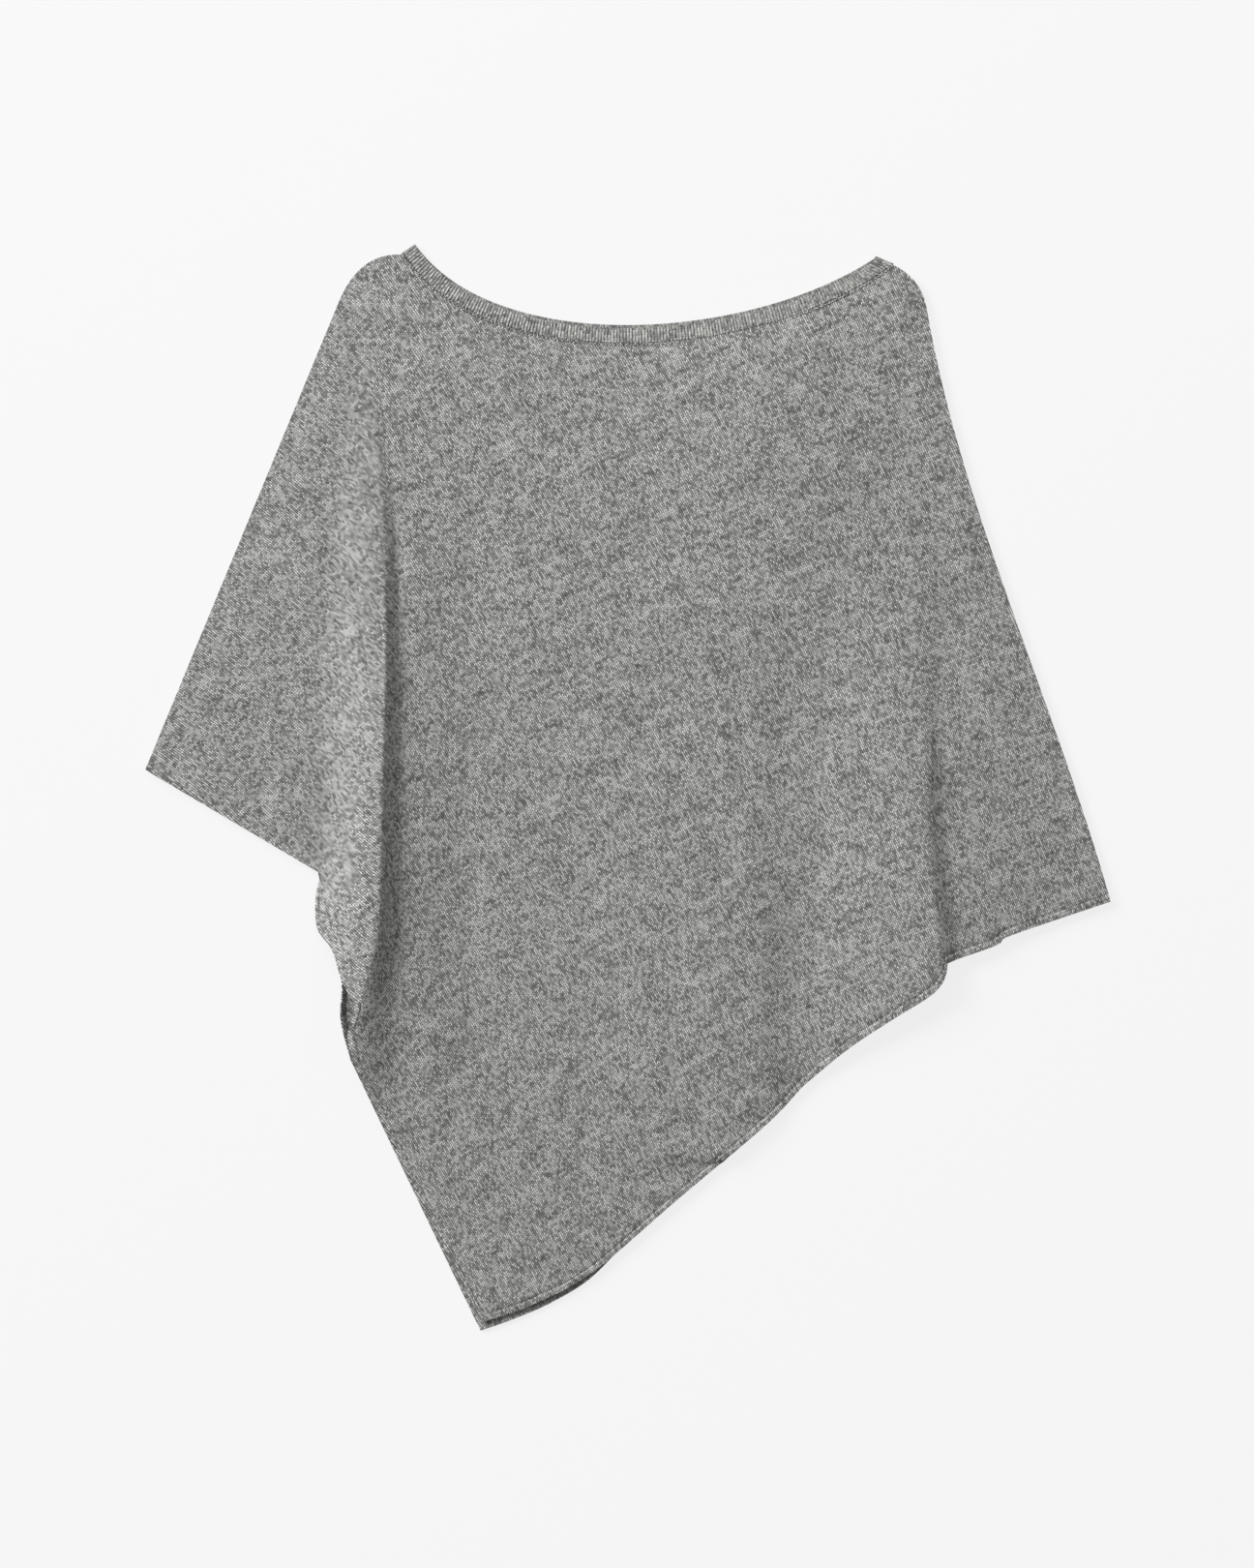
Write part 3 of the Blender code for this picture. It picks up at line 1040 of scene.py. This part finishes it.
def knit_position(finish):
    """The wale and the course at this point, and its place on the garment."""
    stitches = finish.node("ShaderNodeUVMap", {"uv_map": "knit"})
    place = finish.node("ShaderNodeTexCoord", out=3)
    sway = finish.noise(place, SWAY_SCALE, 2.0) - 0.5
    shift = finish.noise(place, SHIFT_SCALE, 2.0) - 0.5
    wale = finish.node("ShaderNodeSeparateXYZ", inputs={"Vector": stitches}, out=0)
    course = finish.node("ShaderNodeSeparateXYZ", inputs={"Vector": stitches}, out=1)
    return wale + sway * SWAY, course + shift * SHIFT, place


def cloth_surface(finish, colour, height, depth):
    """Joins the yarn's colour and the stitches' relief to a soft, matt surface."""
    relief = {"Strength": 1.0, "Distance": depth * MM, "Height": height}
    bump = finish.node("ShaderNodeBump", inputs=relief)
    finish.shine(Base_Color=colour, Roughness=0.95, Normal=bump)
    finish.shine(Sheen_Weight=0.15, Sheen_Roughness=0.6, Specular_IOR_Level=0.15)


def jersey():
    """Plain jersey: columns of V-shaped stitches, in marled grey yarn, with painted shade in the hollows
    between the stitches and painted light on their tops.
    """
    finish = Finish("heather_jersey")
    wale, course, place = knit_position(finish)
    across = abs(wale.part() - 0.5) * 2
    climb = course - across * JERSEY_CLIMB
    stitch = finish.vector((wale * 2).whole(), climb.whole())
    strand = climb.part().over(-0.05, 0.3) * climb.part().over(1.05, 0.7)
    leg = across.over(0.02, 0.34) * across.over(1.0, 0.68)
    height = leg * (0.2 + strand * 0.8)
    colour = heather(finish, stitch, wale, course, place)
    # Painted shade between the stitches' legs and painted light on their tops, on top of the bump's
    # relief.
    colour = finish.with_painted_shade(colour, height, JERSEY_GAP_PAINTED_SHADOW, JERSEY_CREST_PAINTED_LIGHT)
    cloth_surface(finish, colour, height, JERSEY_BUMP)
    return finish.material


def rib():
    """The neckband's fine rib, in the same yarn, with painted shade between the ribs and over the whole
    band, and a painted shadow along its lower edge.
    """
    finish = Finish("heather_rib")
    wale, course, place = knit_position(finish)
    across = abs(wale.part() - 0.5) * 2
    climb = course + across * RIB_CLIMB
    stitch = finish.vector((wale * 2).whole(), climb.whole())
    strand = 1 - abs(climb.part() * 2 - 1) ** 2.5
    height = (strand * 0.6 + 0.4) * across.over(0.0, 0.8)
    colour = heather(finish, stitch, wale, course, place)
    # Painted shade between the ribs, and over the whole band.
    colour = finish.with_painted_shade(colour, height, RIB_GAP_PAINTED_SHADOW, RIB_CREST_PAINTED_SHADE)
    # Painted shadow along the band's lower edge behind the loops, so that they read as light dots on
    # dark.
    colour = finish.with_painted_shade(colour, course.over(*LINKING_SHADOW_COURSES), UNSHADED, LINKING_PAINTED_SHADOW)
    cloth_surface(finish, colour, height, RIB_BUMP)
    return finish.material


def yarn():
    """Loose loops of the same yarn, darkened by the band's painted shade."""
    finish = Finish("heather_yarn")
    place = finish.node("ShaderNodeTexCoord", out=3)
    colour = finish.blend(finish.noise(place, 420.0, 2.0).over(0.3, 0.7), DARK_YARN, PALE_YARN)
    # The band's painted shade, laid on the loops too.
    colour = finish.blend(1.0, colour, RIB_CREST_PAINTED_SHADE, "MULTIPLY")
    cloth_surface(finish, colour, finish.noise(place, 2500.0, 2.0), YARN_BUMP)
    return finish.material


# ---------------------------------------------------------------------------------------------
# The floor, the light and the camera
# ---------------------------------------------------------------------------------------------

FRAME_WIDTH = 1.0109
FRAME_HEIGHT = FRAME_WIDTH * 1620 / 1296
FRAME_CENTRE = (-0.0008, 0.0023)
LENS = 85.0
SENSOR = 36.0
FLOOR_SIZE = 12.0
FLOOR_LEVEL = -0.0003
FLOOR_GREY = (0.1, 0.1, 0.1, 1.0)
FLOOR_GLOW = 0.815
WHITE = (1.0, 1.0, 1.0, 1.0)


def make_floor():
    """A plain pale floor."""
    bpy.ops.mesh.primitive_plane_add(size=FLOOR_SIZE, location=(0, 0, FLOOR_LEVEL))
    floor = bpy.context.object
    floor.name = "floor"
    finish = Finish("pale_floor")
    finish.shine(Base_Color=FLOOR_GREY, Roughness=0.9, Specular_IOR_Level=0.0)
    finish.shine(Emission_Color=WHITE, Emission_Strength=FLOOR_GLOW)
    floor.data.materials.append(finish.material)


Lamp = namedtuple("Lamp", "name power distance size azimuth elevation")
LAMPS = (
    Lamp("key", power=1290.0, distance=9.0, size=3.6, azimuth=145.0, elevation=25.0),
    Lamp("fill", power=25.0, distance=3.2, size=1.2, azimuth=95.0, elevation=35.0),
)
ROOM_LIGHT = 0.33


def make_light():
    """A large soft lamp low on the left and a weak one beyond the neck, in a white room."""
    scene = bpy.context.scene
    world = bpy.data.worlds.new("studio")
    world.use_nodes = True
    room = world.node_tree.nodes["Background"]
    room.inputs["Color"].default_value = WHITE
    room.inputs["Strength"].default_value = ROOM_LIGHT
    scene.world = world
    scene.view_settings.view_transform = "Standard"
    for kind in LAMPS:
        data = bpy.data.lights.new(kind.name, "AREA")
        data.energy = kind.power
        data.size = kind.size
        lamp = bpy.data.objects.new(kind.name, data)
        rise = math.radians(kind.elevation)
        across = polar(kind.distance * math.cos(rise), kind.azimuth)
        lamp.location = (*across, kind.distance * math.sin(rise))
        lamp.rotation_euler = (math.pi / 2 - rise, 0, math.radians(kind.azimuth + 90))
        scene.collection.objects.link(lamp)


def make_camera():
    """A long lens straight above."""
    data = bpy.data.cameras.new("camera")
    data.lens = LENS
    data.sensor_width = SENSOR
    data.clip_end = 50.0
    camera = bpy.data.objects.new("camera", data)
    camera.location = (*FRAME_CENTRE, FRAME_HEIGHT * LENS / SENSOR)
    bpy.context.scene.collection.objects.link(camera)
    bpy.context.scene.camera = camera


def main():
    make_camera()
    make_light()
    make_floor()
    jersey_finish = jersey()
    rib_finish = rib()
    front = make_front()
    back = make_back()
    band = make_band()
    linking = make_linking(yarn())
    for piece, node, slot, finish in (
        (front, "front_panel", "jersey_knit", jersey_finish),
        (back, "back_panel", "jersey_knit", jersey_finish),
        (band, "neckband", "rib_knit", rib_finish),
    ):
        piece.data.materials.append(finish)
        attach(piece, "root")
        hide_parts(node)
    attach(linking, "root")


main()
